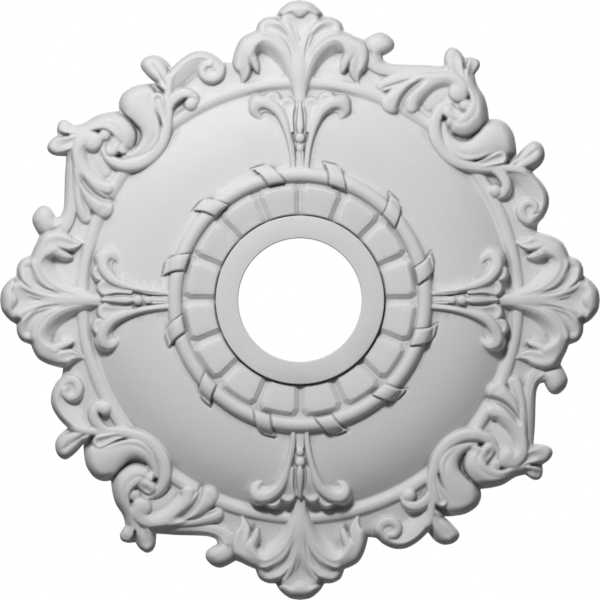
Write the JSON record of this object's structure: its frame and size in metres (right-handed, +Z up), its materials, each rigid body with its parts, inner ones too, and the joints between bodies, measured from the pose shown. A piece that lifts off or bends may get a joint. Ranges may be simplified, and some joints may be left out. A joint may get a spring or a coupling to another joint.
{
  "type": "ceiling rose",
  "caption": "Round moulded ceiling rose with a plain centre hole, a ribboned ring, a domed field and a rim of carved palmettes and scrolling acanthus",
  "frame": {"origin": "centre of the centre hole, in the plane of the back face that seats on the ceiling", "axes": "+Z points up into the ceiling and the carved face looks down along -Z; +X and +Y each run through the tip of a palmette"},
  "size_m": [0.457, 0.457, 0.038],
  "materials": {
    "primed_foam": "factory-primed matt white"
  },
  "bodies": {
    "root": {"ceiling_rose": "primed_foam"}
  },
  "joints": []
}
